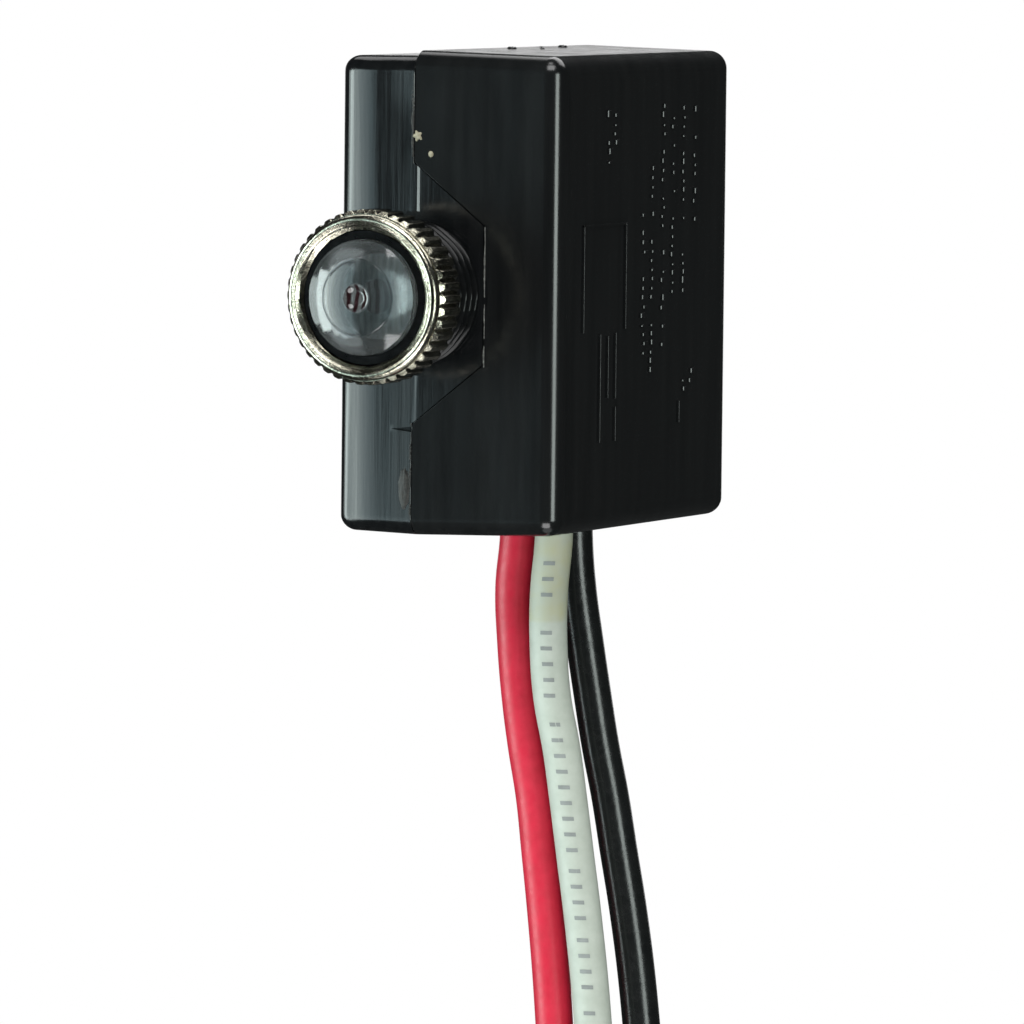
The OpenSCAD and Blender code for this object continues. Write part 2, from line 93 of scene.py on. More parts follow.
# Meshes: least radius, welding distance, and the steps across and along a plain or a warped wall
LEAST_R = 1e-6
WELD_DISTANCE = 1e-8
PLAIN_STEPS = (1, 1)
WARPED_STEPS = (14, 48)

# Finer forms that only this scene has, first the housing's edges and the cover's tongue and nick
SEAM_BREAK = 0.12 * MM
COVER_SEAM_BREAK = 0.03 * MM
EDGE_SOFT = 0.06 * MM
NOTCH_GAP = 0.06 * MM
PANEL_SLOPE = 0.4 * MM
COVER_TOP_DRAFT = math.radians(0.5)
TONGUE_BURIED = 0.15 * MM
TONGUE_STEP_X = 0.30 * MM
TONGUE_PLATE_X = 0.55 * MM
NICK_TIP_X = -1.75 * MM
NICK_MOUTH_X = 0.2 * MM
NICK_Z = -10.25 * MM
NICK_HALF_W = 0.23 * MM
NICK_DEPTH = 0.4 * MM
# The cover's front: its step, twist and outer slope, then its wave, ripples and curled corner
FACE_STEP = 0.060 * MM
FACE_TWIST = 1.5
OUTER_FALL = 0.185
OUTER_START = -3.0 * MM
OUTER_FULL = -5.1 * MM
OUTER_END = -5.5 * MM
WAVE_LENGTH = 5 * MM
WAVE_HEIGHT = 0.007 * MM
WAVE_Z = (-8 * MM, 2 * MM)
RIPPLE_HEIGHT = 0.004 * MM
RIPPLES_PER_X = 700
RIPPLES_PER_Z = 160
CURL_SLOPE = 0.03
CURL_FROM_X = -2 * MM
CURL_Z = (13 * MM, 15.5 * MM)
# Torn flash, a melted spot and a painted highlight of pale crumbs along the tongue's tip edge; a seed picks
# the noise that sizes a line of crumbs
LUMP_NOISE = 3.0
CRUMB_NOISE = 900
CRUMB_LEAST = 0.35
CRUMB_T = 0.05 * MM
CRUMB_LEN = 0.30 * MM
FLASH_RANGES = ((10.4 * MM, 16.8 * MM), (-16.6 * MM, -10.8 * MM))
FLASH_STEP = 0.3 * MM
FLASH_W = 0.17 * MM
FLASH_SEED = (3.1, 0.7)
SPOT_CENTRE = (-0.56 * MM, FACE_STEP, -14.75 * MM)
SPOT_SIZES = (0.44 * MM, 0.10 * MM, 1.45 * MM)
# The painted highlight on the tongue's tip edge: where its pale crumbs lie, their step, width and seed
GLINT_X = TONGUE_REACH + 0.2 * MM
GLINT_STEP = 0.26 * MM
GLINT_W = 0.09 * MM
GLINT_SEED = (8.4, 0.7)
# Mould nubs on the top, as x and y in millimetres and a share of the full size
NUBS = ((1.5, 14.0, 1.0), (1.6, 23.0, 1.0), (2.9, 16.5, 0.5), (1.0, 20.4, 0.45))
NUB_R = 0.36 * MM
NUB_H = 0.15 * MM
# Two specks of dirt, a star and a dot
STAR_CENTRE = (0.32 * MM, 0.02 * MM, 11.85 * MM)
STAR_SIZES = (0.40 * MM, 0.10 * MM, 0.42 * MM)
STAR_LOBES = 5
STAR_LOBE_DEPTH = 0.35
DOT_CENTRE = (1.42 * MM, 0.04 * MM, 10.50 * MM)
DOT_SIZES = (0.21 * MM, 0.09 * MM, 0.23 * MM)
# Plain marks on the side panel: how far they stand out of it and go into it
MARK_PROUD = 0.14 * MM
MARK_BURIED = 0.05 * MM
RIB_ROUND = 0.008 * MM
BLOCK_ROUND = 0.050 * MM
# Their places in millimetres; ribs and rows of blocks are (y, low z, high z)
FRAME_Y = (4.3, 11.9)
FRAME_Z = (-2.8, 5.3)
RIB_W = 0.16
RIBS = [(7.4, -11.2, -3.0), (8.8, -7.9, -3.2), (10.2, -8.0, -3.0), (10.2, -11.2, -8.6), (22.0, -10.4, -8.7)]
BLOCK_ROWS = [
    (8.5, 9.8, 14.0), (9.6, 9.8, 14.0), (15.0, -7.0, 7.0), (16.6, -7.0, 10.0), (18.6, -4.4, 14.4),
    (20.4, -0.4, 14.6), (22.3, -0.4, 14.6), (24.4, 5.0, 14.6), (22.6, -8.0, -5.4), (24.0, -7.4, -6.2),
]
BLOCK_PITCH = 0.7
# A block's least size, what noise adds to it, its shift, and the noise below which it is left out
BLOCK_W = 0.3
BLOCK_H = 0.2
BLOCK_MORE_W = 0.8
BLOCK_MORE_H = 0.6
BLOCK_SHIFT = 0.5
BLOCK_LEFT_OUT = -0.25
WIDE_NOISE = (5.3, 1.7, 4.1)
TALL_NOISE = (7.1, 9.2, 6.3)
# The thread, whose flank lies between two shares of half a pitch
THREAD_CUT = 0.62 * MM
THREAD_START = 0.777
THREAD_FLANK = (0.15, 0.85)
TIP_CHAMFER = 0.55 * MM
# The ring nut, with its knurl's flank likewise; BORE_MARK stands for the bore in its profile
BACK_ROUND = 0.35 * MM
KNURL_ROOT_R = 6.25 * MM
KNURL_START = 0.6 * MM
KNURL_FULL = 0.9 * MM
KNURL_FLANK = (0.08, 0.48)
COLLAR_R = 6.2 * MM
COLLAR_ROUND = 0.42 * MM
LAND_INNER_R = 5.46 * MM
GROOVE_DEPTH = 0.014 * MM
RING_CLEARANCE = 0.06 * MM
CONE_SLOPE = 0.82
RUN_OUT = 0.1
BORE_MARK = 4.0 * MM
# The lens: its domed back, its dimple, and the fine circle round its middle
LENS_BACK_R = 14 * MM
LENS_EDGE = 0.1 * MM
DIMPLE_R = 1.05 * MM
DIMPLE_DEPTH = 0.25 * MM
DIMPLE_FLOOR = 0.45
MIDDLE_R = 2.85 * MM
CIRCLE_DEPTH = 0.02 * MM
CIRCLE_HALF_W = 0.09 * MM
# The white lead's stain, which lies above these heights
STAIN_LOW = -26.0 * MM
STAIN_HIGH = -24.4 * MM
# Its printed ticks, in millimetres: the top and count of each group, the pitch and a tick's height
INK_GROUPS = [(-20.6, 3), (-25.9, 5), (-32.9, 4), (-37.7, 5), (-44.1, 4), (-49.4, 4), (-55.0, 5)]
INK_PITCH = 1.2
INK_BLOCK = 0.3
INK_PROUD = 0.008 * MM
# A tick's middle, half width and mesh step round the lead, in degrees from the camera's side
INK_TURN = -8
INK_HALF_WIDTH = 18
INK_STEP = 9

# Studio distances, and how Blender's lamp power goes with radiance
LAMP_DISTANCE = 1.1
WALL_DISTANCE = 1.7
WATTS_PER_RADIANCE = 4.0
# Lamps: name, azimuths and elevations in degrees, radiance and tint
WHITE = (1, 1, 1)
COOL = (0.86, 1.0, 0.98)
LAMPS = [
    ("left_wing", (-76, -64), (-18, 8), 3.5, COOL),
    ("left_box", (-64, -53), (-23, 13), 9.0, COOL),
    ("left_panel", (-53, -47), (-27, 17), 4.6, COOL),
    ("left_middle", (-47, -41), (-30, 20), 3.0, (0.80, 0.98, 1.0)),
    ("left_fringe", (-41, -35), (-30, 20), 2.1, (0.76, 0.96, 1.0)),
    ("left_edge", (-35, -29.5), (-30, 20), 1.5, (0.68, 0.94, 1.0)),
    ("front_fill", (0, 40), (32, 62), 4.5, WHITE),
    ("low_fill", (0, 40), (-62, -32), 4.5, WHITE),
    ("right_box", (52, 72), (-17, 9), 6.0, (0.90, 1.0, 0.96)),
    ("top_box", (-5, 15), (68, 84), 3.0, WHITE),
    ("back_box", (215, 245), (45, 65), 1.5, WHITE),
    ("back_fill", (135, 195), (36, 66), 3.0, WHITE),
]
# Dark walls, with an opening behind the object: name, azimuths and elevations in degrees
WALLS = [
    ("dark_wall", (-130, 180), (-88, 88)),
    ("upper_wall", (180, 230), (8, 88)),
    ("lower_wall", (180, 230), (-88, -6)),
]
WALL_GREYS = (0.04, 0.07)
FLOOR_R = 0.13
FLOOR_CENTRE = (0.05, -0.04, -0.35)
FLOOR_GREYS = (0.86, 0.90)
WORLD_GREY = (0.5, 0.52, 0.55)
WORLD_LIGHT = 0.1
# Plain finishes: colour, roughness and how metallic they are, and the share by which the first two vary
PLAIN_FINISHES = {
    "grey_ink": ((0.24, 0.26, 0.25), 0.6, 0.0),
    "tinned_wire": ((0.72, 0.73, 0.75), 0.35, 1.0),
    "board_laminate": ((0.42, 0.33, 0.16), 0.6, 0.0),
    "epoxy_black": ((0.03, 0.03, 0.03), 0.6, 0.0),
    "bare_aluminium": ((0.78, 0.79, 0.8), 0.4, 1.0),
    "capacitor_case": ((0.55, 0.1, 0.08), 0.35, 0.0),
    "resistor_lacquer": ((0.72, 0.6, 0.4), 0.4, 0.0),
    "diode_glass": ((0.25, 0.35, 0.6), 0.2, 0.0),
    "varistor_lacquer": ((0.08, 0.2, 0.45), 0.35, 0.0),
    "solder": ((0.7, 0.7, 0.72), 0.45, 1.0),
    "copper_wire": ((0.75, 0.42, 0.25), 0.35, 1.0),
}
MOTTLE = 0.15

# Camera, as fitted to the photograph
CAMERA_AZIMUTH = 25.1
CAMERA_ELEVATION = 4.0
CAMERA_ROLL = 0.62
CAMERA_DISTANCE = 0.710
FOCAL_PIXELS = 9444.0
PICTURE_PIXELS = 1024.0
SENSOR_MM = 36.0
ORIGIN_PIXEL = (412.2, 293.4)

# Routes of the leads, from the board's underside to the end of the insulation, in millimetres
RED_ROUTE = [
    (2.8, 13.4, -13), (2.8, 13.4, -16), (2.8, 13.4, -19), (2.5, 13.3, -23), (2.7, 13.3, -27),
    (3.0, 13.5, -31), (3.5, 13.7, -35), (4.1, 14.0, -39), (4.5, 14.2, -43), (5.0, 14.4, -48),
    (5.5, 14.6, -54), (5.9, 14.8, -61), (6.2, 15.0, -68), (6.4, 15.1, -76), (6.5, 15.2, -84),
    (6.5, 15.2, -92), (6.5, 15.2, -100), (6.4, 15.2, -108), (6.3, 15.1, -116), (6.2, 15.1, -124),
    (6.1, 15.0, -132), (6.0, 15.0, -140), (6.0, 15.0, -148), (5.9, 15.0, -154), (5.9, 15.0, -160),
]
WHITE_ROUTE = [
    (6.4, 12.0, -13), (6.4, 12.0, -16), (6.4, 12.0, -19), (6.1, 11.9, -23), (6.1, 11.9, -27),
    (6.4, 12.0, -31), (7.1, 12.3, -35), (7.6, 12.6, -39), (8.1, 12.8, -43), (8.7, 13.1, -48),
    (9.3, 13.4, -54), (9.8, 13.6, -61), (10.2, 13.8, -68), (10.5, 13.9, -76), (10.6, 14.0, -84),
    (10.6, 14.0, -92), (10.5, 14.0, -100), (10.4, 13.9, -108), (10.2, 13.8, -116), (10.1, 13.8, -124),
    (10.0, 13.7, -132), (9.9, 13.7, -140), (9.8, 13.7, -148), (9.8, 13.7, -154), (9.8, 13.7, -160),
]
BLACK_ROUTE = [
    (6.3, 15.9, -13), (6.3, 15.9, -16), (6.3, 15.9, -19), (6.6, 16.0, -23), (7.1, 16.3, -27),
    (7.7, 16.5, -31), (8.3, 16.8, -35), (9.0, 17.2, -39), (9.6, 17.5, -43), (10.4, 17.8, -48),
    (11.1, 18.2, -54), (11.7, 18.4, -61), (12.1, 18.6, -68), (12.3, 18.7, -76), (12.4, 18.8, -84),
    (12.4, 18.8, -92), (12.3, 18.8, -100), (12.2, 18.7, -108), (12.0, 18.6, -116), (11.9, 18.6, -124),
    (11.8, 18.5, -132), (11.7, 18.5, -140), (11.6, 18.5, -148), (11.6, 18.5, -154), (11.6, 18.5, -160),
]
ROUTES = {"red": RED_ROUTE, "white": WHITE_ROUTE, "black": BLACK_ROUTE}
# Names of the two bodies
HOUSING = "housing"
RING = "ring"


def direction(azimuth, elevation):
    """The unit vector from the object towards an azimuth and elevation, in degrees."""
    a, e = math.radians(azimuth), math.radians(elevation)
    return Vector((math.sin(a) * math.cos(e), -math.cos(a) * math.cos(e), math.sin(e)))


def camera_axes():
    """The camera's right, up and back directions in the part's frame."""
    a = math.radians(CAMERA_AZIMUTH)
    roll = math.radians(CAMERA_ROLL)
    back = direction(CAMERA_AZIMUTH, CAMERA_ELEVATION)
    level = Vector((math.cos(a), math.sin(a), 0))
    rise = back.cross(level)
    right = math.cos(roll) * level + math.sin(roll) * rise
    up = math.cos(roll) * rise - math.sin(roll) * level
    return right, up, back


def make_camera():
    """The photograph's camera: looks along -back, moved sideways until the origin lands on its pixel."""
    right, up, back = camera_axes()
    metres_per_pixel = CAMERA_DISTANCE / FOCAL_PIXELS
    across = (ORIGIN_PIXEL[0] - PICTURE_PIXELS / 2) * metres_per_pixel
    above = (PICTURE_PIXELS / 2 - ORIGIN_PIXEL[1]) * metres_per_pixel
    data = bpy.data.cameras.new("camera")
    data.sensor_width = SENSOR_MM
    data.lens = FOCAL_PIXELS / PICTURE_PIXELS * SENSOR_MM
    data.clip_start = 0.01
    data.clip_end = 100
    cam = bpy.data.objects.new("camera", data)
    place = back * CAMERA_DISTANCE - right * across - up * above
    turn = Matrix((right, up, back)).transposed().to_4x4()
    cam.matrix_world = Matrix.Translation(place) @ turn
    bpy.context.scene.collection.objects.link(cam)
    bpy.context.scene.camera = cam


# Materials


class Shader:
    """A node material with one principled shader and short ways to wire patterns into it."""

    def __init__(self, name):
        self.material = bpy.data.materials.new(name)
        self.material.use_nodes = True
        self.tree = self.material.node_tree
        self.main = self.tree.nodes["Principled BSDF"]

    def set(self, **sockets):
        """Sets the principled shader's own sockets, with underscores for spaces."""
        for key, value in sockets.items():
            self.main.inputs[key.replace("_", " ")].default_value = value
        return self

    def node(self, kind, **inputs):
        """Adds a node of a kind and sets its inputs."""
        node = self.tree.nodes.new("ShaderNode" + kind)
        for key, value in inputs.items():
            node.inputs[key].default_value = value
        return node

    def link(self, source, target):
        """Wires an output to an input."""
        self.tree.links.new(source, target)

    def place(self, stretch=(1, 1, 1), turn=(0, 0, 0), shift=(0, 0, 0)):
        """Object coordinates in metres, stretched, turned and shifted."""
        coords = self.node("TexCoord")
        mapping = self.node("Mapping", Scale=stretch, Rotation=turn, Location=shift)
        self.link(coords.outputs["Object"], mapping.inputs["Vector"])
        return mapping.outputs["Vector"]

    def grain(self, scale, detail=4, roughness=0.6, stretch=(1, 1, 1)):
        """A noise pattern's factor."""
        tex = self.node("TexNoise", Scale=scale, Detail=detail, Roughness=roughness)
        self.link(self.place(stretch), tex.inputs["Vector"])
        return tex.outputs["Fac"]

    def bands(self, scale, distortion):
        """A wavy pattern of bands."""
        tex = self.node("TexWave", Scale=scale, Distortion=distortion)
        self.link(self.place(), tex.inputs["Vector"])
        return tex.outputs["Fac"]

    def from_axis(self, reach):
        """1 on the stem's axis, falling to 0 at reach from it."""
        tex = self.node("TexGradient")
        tex.gradient_type = "SPHERICAL"
        self.link(self.place((1 / reach, 0, 1 / reach)), tex.inputs["Vector"])
        return tex.outputs["Fac"]

    def height(self, low, high):
        """0 at the height low, rising to 1 at high."""
        tex = self.node("TexGradient")
        scale = 1 / (high - low)
        where = self.place((0, 0, scale), (0, math.radians(90), 0), (-low * scale, 0, 0))
        self.link(where, tex.inputs["Vector"])
        return tex.outputs["Fac"]

    def ramp(self, factor, stops):
        """A colour ramp over a factor; stops are (position, colour or grey)."""
        node = self.node("ValToRGB")
        items = node.color_ramp.elements
        while len(items) < len(stops):
            items.new(0.5)
        for item, (position, colour) in zip(items, stops):
            grey = isinstance(colour, (int, float))
            item.position = position
            item.color = (colour, colour, colour, 1) if grey else (*colour, 1)
        self.link(factor, node.inputs["Fac"])
        return node.outputs["Color"]

    def between(self, factor, low, high, start=0.3, end=0.7):
        """A colour or grey that goes from low to high while a pattern goes from start to end."""
        return self.ramp(factor, [(start, low), (end, high)])

    def blend(self, factor, first, second):
        """Two patterns' colours mixed by a third pattern."""
        node = self.node("Mix")
        node.data_type = "RGBA"
        self.link(factor, node.inputs["Factor"])
        self.link(first, node.inputs["A"])
        self.link(second, node.inputs["B"])
        return node.outputs["Result"]

    def drive(self, socket, output):
        """Lets a pattern set one of the principled shader's sockets."""
        self.link(output, self.main.inputs[socket])

    def colour(self, factor, low, high, **span):
        """Lets a pattern take the base colour from low to high."""
        self.drive("Base Color", self.between(factor, low, high, **span))

    def gloss(self, factor, low, high, **span):
        """Lets a pattern take the roughness from low to high."""
        self.drive("Roughness", self.between(factor, low, high, **span))

    def bump(self, factor, distance):
        """Lets a pattern roughen the surface by up to a distance."""
        node = self.node("Bump", Distance=distance)
        self.link(factor, node.inputs["Height"])
        self.drive("Normal", node.outputs["Normal"])


def shell_material():
    """Moulded black thermoplastic with a low sheen and faint flow marks."""
    s = Shader("shell_plastic")
    flow = s.grain(900, detail=6, stretch=(1, 1, 0.05))
    s.colour(flow, (0.0044, 0.0049, 0.0052), (0.0082, 0.0088, 0.0090))
    sheen = s.grain(450, detail=6, stretch=(1, 1, 0.2))
    s.gloss(sheen, 0.16, 0.22, start=0.35)
    s.bump(flow, 0.001 * MM)
    return s.set(IOR=1.5).material


def drawn_material():
    """The same plastic on the cover: glossier, with upright draw marks from its mould."""
    s = Shader("drawn_plastic")
    marks = s.grain(2400, detail=5, stretch=(1, 1, 0.03))
    s.colour(marks, (0.0035, 0.004, 0.0045), (0.007, 0.0075, 0.008))
    sheen = s.grain(600, detail=6, stretch=(1, 1, 0.2))
    s.gloss(sheen, 0.12, 0.22, start=0.35)
    s.bump(marks, 0.010 * MM)
    return s.set(IOR=1.5).material


def thread_material():
    """The same plastic on the cut thread, with little sheen."""
    s = Shader("thread_plastic")
    grime = s.grain(1500, detail=5)
    s.colour(grime, (0.0035, 0.004, 0.0042), (0.0065, 0.007, 0.0072))
    s.gloss(grime, 0.14, 0.22, start=0.35)
    return s.set(IOR=1.5, Specular_IOR_Level=0.16).material


def scuff_and_glint_material(name, low, high):
    """The same plastic where it was melted or torn: matte and speckled; in pale colours it is a painted
    highlight along the tongue's tip edge.
    """
    s = Shader(name)
    speckle = s.grain(3500, detail=6, roughness=0.7)
    s.colour(speckle, low, high, start=0.42, end=0.68)
    s.gloss(speckle, 0.40, 0.65)
    s.bump(speckle, 0.04 * MM)
    return s.set(IOR=1.5).material


def dust_material():
    """Dried specks of pale dirt."""
    s = Shader("dried_dirt")
    speckle = s.grain(4000, detail=5)
    s.colour(speckle, (0.24, 0.21, 0.14), (0.42, 0.38, 0.28))
    s.bump(speckle, 0.04 * MM)
    return s.set(Roughness=0.8).material


def nickel_material():
    """Worn nickel plate: warm, with pits and darker tarnish."""
    s = Shader("nickel_plate")
    pits = s.grain(5000, detail=6, roughness=0.7)
    tarnish = s.grain(420, detail=5)
    bright = s.between(pits, (0.27, 0.26, 0.20), (0.86, 0.83, 0.69), start=0.32, end=0.62)
    dull = s.between(pits, (0.06, 0.058, 0.042), (0.50, 0.48, 0.38), start=0.32, end=0.66)
    is_dull = s.between(tarnish, 0.0, 1.0, start=0.38, end=0.60)
    s.drive("Base Color", s.blend(is_dull, bright, dull))
    s.gloss(pits, 0.10, 0.20)
    s.bump(pits, 0.017 * MM)
    return s.set(Metallic=1.0).material


def lens_material():
    """Clear moulded plastic with a frosted middle and a dark dimple."""
    s = Shader("clear_lens")
    reach = 10 * MM
    axis = s.from_axis(reach)
    dimple = 1 - DIMPLE_R / reach
    near_dimple = dimple - 0.008
    in_dimple = dimple + 0.004
    middle = 1 - MIDDLE_R / reach
    near_middle = middle - 0.01
    off_middle = middle - 0.03
    spots = s.between(s.bands(520, 4.0), (0.030, 0.012, 0.014), (0.16, 0.17, 0.17), start=0.35, end=0.6)
    streaks = s.grain(2200, stretch=(1, 1, 0.2))
    bright = s.between(streaks, (0.84, 0.91, 0.92), (0.94, 0.98, 0.98), start=0.35)
    dull = s.between(streaks, (0.20, 0.24, 0.25), (0.38, 0.43, 0.44), start=0.35)
    is_middle = s.between(axis, 0.0, 1.0, near_middle, middle)
    is_dimple = s.between(axis, 0.0, 1.0, near_dimple, in_dimple)
    clear = s.blend(is_middle, bright, dull)
    s.drive("Base Color", s.blend(is_dimple, clear, spots))
    clearness = [(near_middle, 0.97), (middle, 0.94), (near_dimple, 0.94), (dimple, 0.55)]
    s.drive("Transmission Weight", s.ramp(axis, clearness))
    frost = [(off_middle, 0.10), (middle, 0.14), (near_dimple, 0.10), (dimple, 0.06)]
    s.drive("Roughness", s.ramp(axis, frost))
    return s.set(IOR=1.586).material


def lead_material(name, low, high, smoothest, roughest):
    """Extruded vinyl insulation with a waxy sheen, between two colours and two grades of gloss."""
    s = Shader(name)
    skin_tone = s.grain(700, detail=5)
    s.colour(skin_tone, low, high)
    s.gloss(s.grain(1800, detail=6), smoothest, roughest)
    s.bump(s.grain(2500, detail=4), 0.012 * MM)
    return s.set(IOR=1.5).material


def stained_lead_material(name):
    """White vinyl insulation, yellowed where it leaves the housing."""
    s = Shader(name)
    skin_tone = s.grain(700, detail=5)
    white = s.between(skin_tone, (0.40, 0.44, 0.38), (0.47, 0.51, 0.45))
    blotches = s.grain(260, detail=3)
    yellow = s.between(blotches, (0.42, 0.45, 0.37), (0.44, 0.44, 0.27), start=0.42, end=0.68)
    stain = s.between(s.height(STAIN_LOW, STAIN_HIGH), 0.0, 1.0, start=0.40, end=0.60)
    s.drive("Base Color", s.blend(stain, white, yellow))
    s.gloss(s.grain(1800, detail=6), 0.50, 0.65)
    s.bump(s.grain(2500, detail=4), 0.010 * MM)
    return s.set(IOR=1.5).material


def cell_material():
    """The photocell's glazed face: grey ceramic with a faint winding track."""
    s = Shader("cell_ceramic")
    track = s.bands(900, 3.0)
    s.colour(track, (0.29, 0.29, 0.28), (0.36, 0.38, 0.37), start=0.35, end=0.6)
    s.gloss(s.grain(900), 0.25, 0.4)
    return s.material


def plain_material(name, colour, roughness, metallic):
    """A finish whose colour and gloss vary a little over the surface."""
    s = Shader(name)
    mottle = s.grain(600, detail=5)
    less, more = 1 - MOTTLE, 1 + MOTTLE
    low = tuple(c * less for c in colour)
    high = tuple(min(1.0, c * more) for c in colour)
    s.colour(mottle, low, high)
    s.gloss(mottle, roughness * less, min(1.0, roughness * more))
    s.bump(mottle, 0.003 * MM)
    return s.set(Metallic=metallic).material


def make_materials():
    """One material for each slot of the record, and those of the marks on the surface."""
    plain = {name: plain_material(name, *finish) for name, finish in PLAIN_FINISHES.items()}
    return plain | {
        "shell_plastic": shell_material(),
        "drawn_plastic": drawn_material(),
        "thread_plastic": thread_material(),
        "scuffed_plastic": scuff_and_glint_material(
            "scuffed_plastic", (0.006, 0.006, 0.005), (0.036, 0.033, 0.029),
        ),
        # Pale crumbs whose colour paints the highlight along the tongue's tip edge
        "painted_glint_plastic": scuff_and_glint_material("painted_glint_plastic", (0.03, 0.03, 0.03), (0.24, 0.24, 0.22)),
        "dried_dirt": dust_material(),
        "nickel_plate": nickel_material(),
        "clear_lens": lens_material(),
        "insulation_red": lead_material(
            "insulation_red", (0.50, 0.010, 0.032), (0.60, 0.015, 0.045), smoothest=0.38, roughest=0.55,
        ),
        "insulation_white": stained_lead_material("insulation_white"),
        "insulation_black": lead_material(
            "insulation_black", (0.005, 0.006, 0.006), (0.009, 0.010, 0.010), smoothest=0.20, roughest=0.30,
        ),
        "cell_ceramic": cell_material(),
    }


# Ways to make a piece


def adopt(obj, body, slot, nodes=(), finish=None):
    """Puts a new piece on its body, gives it its finish or else its slot's material, and hides the CAD
    nodes it stands for.
    """
    if obj.name not in bpy.context.scene.collection.objects:
        bpy.context.scene.collection.objects.link(obj)
    obj.data.materials.clear()
    obj.data.materials.append(materials[finish or slot])
    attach(obj, body)
    if nodes:
        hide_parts(*nodes)
    return obj


def to_object(name, bm):
    """A mesh object out of a bmesh, with faces turned outwards."""
    bmesh.ops.remove_doubles(bm, verts=bm.verts, dist=WELD_DISTANCE)
    bmesh.ops.recalc_face_normals(bm, faces=bm.faces)
    mesh = bpy.data.meshes.new(name)
    bm.to_mesh(mesh)
    bm.free()
    obj = bpy.data.objects.new(name, mesh)
    bpy.context.scene.collection.objects.link(obj)
    return obj


def smooth(obj, angle=35):
    """Smooth shading that keeps flat faces flat and edges sharper than an angle sharp."""
    for face in obj.data.polygons:
        face.use_smooth = True
    obj.data.set_sharp_from_angle(angle=math.radians(angle))
    weighted = obj.modifiers.new("weighted", "WEIGHTED_NORMAL")
    weighted.keep_sharp = True
    return obj


def bake(obj):
    """Replaces an object's mesh by what its modifiers make of it."""
    graph = bpy.context.evaluated_depsgraph_get()
    mesh = bpy.data.meshes.new_from_object(obj.evaluated_get(graph))
    obj.modifiers.clear()
    obj.data = mesh
    return obj


def combine(obj, tool, operation):
    """obj joined with or cut by tool, which is used up."""
    step = obj.modifiers.new(operation, "BOOLEAN")
    step.operation = operation
    step.solver = "EXACT"
    step.object = tool
    bake(obj)
    bpy.data.objects.remove(tool)


def soften(obj, width, segments=3, angle=50):
    """Rounds the sharp edges by a small radius."""
    step = obj.modifiers.new("soften", "BEVEL")
    step.width = width
    step.segments = segments
    step.limit_method = "ANGLE"
    step.angle_limit = math.radians(angle)
    return bake(obj)


def spread(start, end, steps):
    """Evenly spaced values from start to end, with both of them."""
    return [start + (end - start) * i / steps for i in range(steps + 1)]


def loft(name, sections, close_ends=True, close_loop=False):
    """A mesh over sections, which are lists of points with the same count."""
    bm = bmesh.new()
    rings = [[bm.verts.new(point) for point in section] for section in sections]
    pairs = list(zip(rings, rings[1:]))
    if close_loop:
        pairs.append((rings[-1], rings[0]))
    for a, b in pairs:
        for i in range(len(a)):
            k = (i + 1) % len(a)
            bm.faces.new((a[i], a[k], b[k], b[i]))
    if close_ends and not close_loop:
        bm.faces.new(rings[0])
        bm.faces.new(rings[-1])
    return to_object(name, bm)


def sheet(bm, rows):
    """Adds the faces between neighbouring rows of points, open at the rows' ends."""
    rows = [[bm.verts.new(point) for point in row] for row in rows]
    for upper, lower in zip(rows, rows[1:]):
        for i in range(len(upper) - 1):
            bm.faces.new((upper[i], upper[i + 1], lower[i + 1], lower[i]))


def round_corners(y0, y1, z0, z1, r, steps, runs):
    """A rectangle grown by r with round corners, as (y, z, share that faces the front)."""
    points = []
    corners = [(y1, z1, 0), (y0, z1, 90), (y0, z0, 180), (y1, z0, 270)]
    for i, (y, z, start) in enumerate(corners):
        for k in range(steps + 1):
            a = math.radians(start + 90 * k / steps)
            points.append((y + r * math.cos(a), z + r * math.sin(a), max(0.0, -math.cos(a))))
        next_y, next_z, turn = corners[(i + 1) % len(corners)]
        a = math.radians(turn)
        front = max(0.0, -math.cos(a))
        last_y, last_z, _ = points[-1]
        end_y, end_z = next_y + r * math.cos(a), next_z + r * math.sin(a)
        for k in range(1, runs):
            t = k / runs
            points.append((last_y + (end_y - last_y) * t, last_z + (end_z - last_z) * t, front))
    return points


def half_block(name, width, top, side, sink=None, top_draft=DRAFT, seam=SEAM_BREAK, steps=10):
    """One drafted, rounded half of the housing as a solid block from the seam to X = side * width.

    sink(x, z) is how far the front lies behind its drafted plane.
    """
    wall_end = width - EDGE_R
    wall_steps, runs = WARPED_STEPS if sink else PLAIN_STEPS
    sections = [(0.0, EDGE_R - seam)]
    sections += [(x, EDGE_R) for x in spread(seam, wall_end, wall_steps)]
    for degrees in spread(0, 90, steps)[1:]:
        a = math.radians(degrees)
        sections.append((wall_end + EDGE_R * math.sin(a), max(EDGE_R * math.cos(a), LEAST_R)))
    rings = []
    for x, r in sections:
        low = EDGE_R + math.tan(DRAFT) * min(x, wall_end)
        high = top - EDGE_R - math.tan(top_draft) * min(x, wall_end)
        ring = []
        for y, z, front in round_corners(low, BODY_D - low, low - BODY_H / 2, high, r, steps, runs):
            if sink:
                y += sink(side * x, z) * front ** 2
            ring.append((side * x, y, z))
        rings.append(ring)
    return loft(name, rings)


def prism(name, outline, y0, y1):
    """An outline of (x, z) points extruded from y0 to y1."""
    return loft(name, [[(x, y, z) for x, z in outline] for y in (y0, y1)])


def slab(name, low, high):
    """A block between two corners."""
    outline = [(low[0], low[2]), (high[0], low[2]), (high[0], high[2]), (low[0], high[2])]
    return prism(name, outline, low[1], high[1])


